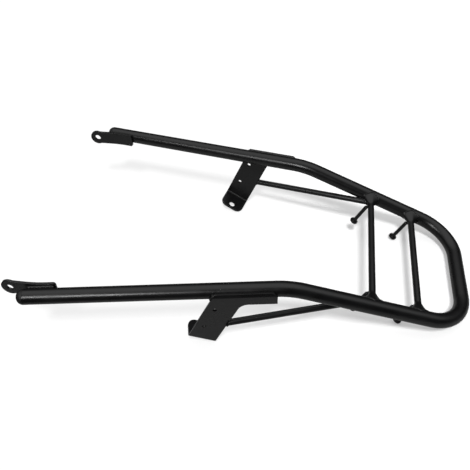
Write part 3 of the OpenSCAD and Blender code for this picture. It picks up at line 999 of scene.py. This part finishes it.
peg_paths = []
for _, at, from_tube in PEG_PLACES:
    local = LOOP.inverted() @ peg_place(at, from_tube)
    seam = []
    for i in range(PEG_SEAM_STEPS + 1):
        a = math.radians(-PEG_SEAM_HALF + 2 * PEG_SEAM_HALF * i / PEG_SEAM_STEPS)

        def on_peg(height):
            return local @ Vector((PEG_R * math.cos(a), PEG_R * math.sin(a), height))

        def in_bar(height):
            return off_axis(on_peg(height), Vector((at, 0, 0)), Vector((0, 1, 0))) < BAR_R

        seam.append(LOOP @ on_peg(halve(PEG_LEN - PEG_SEAM_SEARCH, PEG_LEN, in_bar)))
    peg_paths.append(seam)
beads("weld_pegs", peg_paths, closed=True, radius=0.0016, fade=NO_FADE)

# %% Beads at the brackets and eye plates
BEAD_STEPS = 12
STITCH_LEN = 24.0
STITCH_STARTS = (-102.0, -72.0, -43.0)
STITCH_IN = 1.2
STITCH_DOWN = 6.0
EDGE_BEAD_TOP = 6.0
EDGE_BEAD_LEN = 12.0
EDGE_BEAD_OUT = 0.6
EYE_BEAD_START = 3.0
EYE_BEAD_LEN = 37.0
EYE_BEAD_IN = 1.9
EYE_BEADS_UP = (8.2, -8.2)


def bead_line(point_at, length):
    """Evenly spaced points of a bead, from a function of the distance along it."""
    return [point_at(length * k / BEAD_STEPS) for k in range(BEAD_STEPS + 1)]


stitches = []
for start in STITCH_STARTS:
    def on_bracket(along):
        return LEANING @ Vector((start + along, SEAT_R - STITCH_IN, -STITCH_DOWN))

    stitches.append(bead_line(on_bracket, STITCH_LEN))
beads("weld_brackets", stitches, closed=False, radius=0.0021, fade=0.004)


def on_front_edge(down):
    """A point on the front edge of the strap, which slants."""
    z = EDGE_BEAD_TOP - down
    return LEANING @ Vector((-STRAP_FRONT + z * math.tan(SLANT), SEAT_R + EDGE_BEAD_OUT, z))


beads("weld_edges", [bead_line(on_front_edge, EDGE_BEAD_LEN)], closed=False, radius=0.0028, fade=0.003)

eye_lines = []
for z in EYE_BEADS_UP:
    def beside_plate(along):
        return RAIL @ Vector((-FRONT_LEN + EYE_BEAD_START + along, -SEAT_R + EYE_BEAD_IN, z))

    eye_lines.append(bead_line(beside_plate, EYE_BEAD_LEN))
beads("weld_eyes", eye_lines, closed=False, radius=0.0023, fade=0.004)

# %% [markdown]
# ## The table
# A product photograph of a black thing is lit by what it mirrors, and here the coat
# mirrors the table below. So the table has two looks. To the camera it is
# a matt white sheet that takes the soft shadows, mixed with plain white light, because
# the photograph's shadows are faint and fade out towards the front of the rack.
# Towards the front more of the white is mixed in, painted light that fades the shadows there.
# To the coat it is grey paper near the rack and dark further off, as beyond the edge
# of a sheet of paper. One plain white floor would wash out the underside of the tube.

# %% Table
TABLE_HALF = 8.0
TABLE_DROP = 0.0002
SEEN_GREY = 0.87
SEEN_AS_WHITE = 0.36
# The share of plain white grows by this much towards the front of the rack: painted light that fades the
# table's shadows there.
PAINTED_FILL_SHARE = 0.40
PAINTED_FILL_FROM_TO = (0.12, -0.10)
MIRRORED_GREY = 0.245
BEYOND_GREY = 0.03
PAPER_LOW = (-0.50, -0.31)
PAPER_HIGH = (0.42, 0.75)
PAPER_EDGE = 0.07


def step_at(tree, value, start, end):
    """Rises smoothly from 0 at start to 1 at end."""
    node = tree.nodes.new("ShaderNodeMapRange")
    node.interpolation_type = "SMOOTHSTEP"
    node.inputs["From Min"].default_value = start
    node.inputs["From Max"].default_value = end
    tree.links.new(value, node.inputs["Value"])
    return node.outputs["Result"]


def mixed(tree, share, first, second):
    """Shows the first shader where share is 0 and the second where it is 1."""
    node = tree.nodes.new("ShaderNodeMixShader")
    tree.links.new(share, node.inputs["Fac"])
    tree.links.new(first, node.inputs[1])
    tree.links.new(second, node.inputs[2])
    return node.outputs[0]


def matt(tree, grey):
    node = tree.nodes.new("ShaderNodeBsdfDiffuse")
    node.inputs["Color"].default_value = (grey, grey, grey, 1.0)
    return node.outputs[0]


floor_mesh = bpy.data.meshes.new("floor")
floor_corners = [(-1, -1, 0), (1, -1, 0), (1, 1, 0), (-1, 1, 0)]
floor_mesh.from_pydata([Vector(c) * TABLE_HALF for c in floor_corners], [], [(0, 1, 2, 3)])
floor = link("floor", floor_mesh)
floor.location.z = -TABLE_DROP

paper = bpy.data.materials.new("pale_paper")
paper.use_nodes = True
tree = paper.node_tree
tree.nodes.clear()
out = tree.nodes.new("ShaderNodeOutputMaterial")
white = tree.nodes.new("ShaderNodeEmission")
white.inputs["Strength"].default_value = 1.0
by = tree.nodes.new("ShaderNodeLightPath")
place = tree.nodes.new("ShaderNodeSeparateXYZ")
tree.links.new(tree.nodes.new("ShaderNodeTexCoord").outputs["Object"], place.inputs[0])
on_paper = None
for axis, low, high in zip("XY", PAPER_LOW, PAPER_HIGH):
    for start, end in ((low - PAPER_EDGE, low + PAPER_EDGE), (high + PAPER_EDGE, high - PAPER_EDGE)):
        edge = step_at(tree, place.outputs[axis], start, end)
        on_paper = math_node(tree, "MULTIPLY", on_paper, edge) if on_paper else edge
# More plain white towards the front of the rack: painted light on the table that fades its shadows there.
painted_fill = math_node(tree, "MULTIPLY", step_at(tree, place.outputs["X"], *PAINTED_FILL_FROM_TO), PAINTED_FILL_SHARE)
white_share = math_node(tree, "ADD", painted_fill, SEEN_AS_WHITE)
to_camera = mixed(tree, white_share, matt(tree, SEEN_GREY), white.outputs[0])
to_coat = mixed(tree, on_paper, matt(tree, BEYOND_GREY), matt(tree, MIRRORED_GREY))
shown = mixed(tree, by.outputs["Is Camera Ray"], to_coat, to_camera)
tree.links.new(shown, out.inputs["Surface"])
floor_mesh.materials.append(paper)
print("grey paper in x, in metres", PAPER_LOW[0], PAPER_HIGH[0])
print("grey paper in y, in metres", PAPER_LOW[1], PAPER_HIGH[1])

# %% [markdown]
# ## The light above
# The coat also shows a pale ceiling above and dark walls round about, and these
# bands are what tells the eye that the tube is round. With one grey world all round,
# the tube would look flat. A colour ramp over the direction makes the bands: dark
# near the walls and bright overhead. The direction is squeezed across first,
# which makes the bright patch long from side to side, like a ceiling light.
# The camera itself sees plain white beyond the table.

# %% World
CEILING_TOWARDS = Vector((0.0, 0.15, 1.0)).normalized()
CEILING_WIDE = 0.4
CEILING_BANDS = [(0.0, 0.015), (0.62, 0.025), (0.8, 0.3), (0.9, 0.95), (1.0, 1.05)]


def vector_node(tree, operation, vector, other=None):
    node = tree.nodes.new("ShaderNodeVectorMath")
    node.operation = operation
    tree.links.new(vector, node.inputs[0])
    if other is not None:
        node.inputs[1].default_value = other
    return node


world = bpy.data.worlds.new("studio")
world.use_nodes = True
bpy.context.scene.world = world
tree = world.node_tree
tree.nodes.clear()
out = tree.nodes.new("ShaderNodeOutputWorld")
ceiling = tree.nodes.new("ShaderNodeBackground")
plain = tree.nodes.new("ShaderNodeBackground")
plain.inputs["Color"].default_value = (1.0, 1.0, 1.0, 1.0)
direction = tree.nodes.new("ShaderNodeTexCoord").outputs["Generated"]
squeezed = vector_node(tree, "MULTIPLY", direction, (CEILING_WIDE, 1.0, 1.0)).outputs["Vector"]
level = vector_node(tree, "NORMALIZE", squeezed).outputs["Vector"]
towards = vector_node(tree, "DOT_PRODUCT", level, CEILING_TOWARDS)
bands = tree.nodes.new("ShaderNodeValToRGB")
ramp = bands.color_ramp
for position, _ in CEILING_BANDS[1:-1]:
    ramp.elements.new(position)
for element, (position, grey) in zip(ramp.elements, CEILING_BANDS):
    element.position = position
    element.color = (grey, grey, grey, 1.0)
tree.links.new(towards.outputs["Value"], bands.inputs["Fac"])
tree.links.new(bands.outputs["Color"], ceiling.inputs["Color"])
by = tree.nodes.new("ShaderNodeLightPath")
shown = mixed(tree, by.outputs["Is Camera Ray"], ceiling.outputs[0], plain.outputs[0])
tree.links.new(shown, out.inputs["Surface"])
for element in ramp.elements:
    print("ceiling", round(element.position, 2), "has grey", round(element.color[0], 3))

# %% [markdown]
# ## Lamps
# A far lamp throws the soft shadows on the table. It is kept out of the mirror images,
# because its own reflection isn't in the photograph. Two wide and low lamps in front do
# the opposite: they give no light to the table, and are there for what the coat mirrors.
# A bright one makes the line that runs along the near rail and dies out before the bend.
# A dimmer one to its left makes the faint line on the far rail and the far stay.

# %% Lamps
STRIP_DISTANCE = 2.5
SUN_WIDTH = math.radians(10.5)


def lamp_object(name, kind, towards, distance, power, aim=(0, 0, 0)):
    """A lamp at a distance from its aim, in the direction towards, that shines at its aim."""
    data = bpy.data.lights.new(name, kind)
    data.energy = power
    lamp = bpy.data.objects.new(name, data)
    turned = Vector(towards).to_track_quat("Z", "Y").to_matrix().to_4x4()
    lamp.matrix_world = Matrix.Translation(Vector(aim) + Vector(towards).normalized() * distance) @ turned
    bpy.context.scene.collection.objects.link(lamp)
    return lamp


shadow_lamp = lamp_object("shadow_lamp", "SUN", towards=(0.13, -0.57, 1.0), distance=2.0, power=3.3)
shadow_lamp.data.angle = SUN_WIDTH
shadow_lamp.visible_glossy = False


def strip_lamp(name, towards, power, aim, width, height):
    """A wide and low lamp that is seen only as a mirror image in the coat."""
    lamp = lamp_object(name, "AREA", towards, STRIP_DISTANCE, power, aim)
    lamp.data.shape = "RECTANGLE"
    lamp.data.size = width
    lamp.data.size_y = height
    lamp.visible_camera = False
    lamp.visible_diffuse = False
    return lamp


strip_lamp(
    "front_lamp", towards=(-0.128, -0.80, 0.57), power=17.0,
    aim=(-0.15, -0.18, 0.11), width=0.40, height=0.18,
)
strip_lamp(
    "left_lamp", towards=(-0.387, -0.699, 0.602), power=7.7,
    aim=(-0.05, 0.15, 0.10), width=0.97, height=0.18,
)

# %% [markdown]
# ## The last steps
# The Standard view shows the colours as they were chosen. The CAD nodes get the same
# coat and cap materials as the pieces that stand for them.

# %% Colours as written
bpy.context.scene.view_settings.view_transform = "Standard"
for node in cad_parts.values():
    for i in range(len(node.data.materials)):
        node.data.materials[i] = CAP if "cap" in node.name else COAT
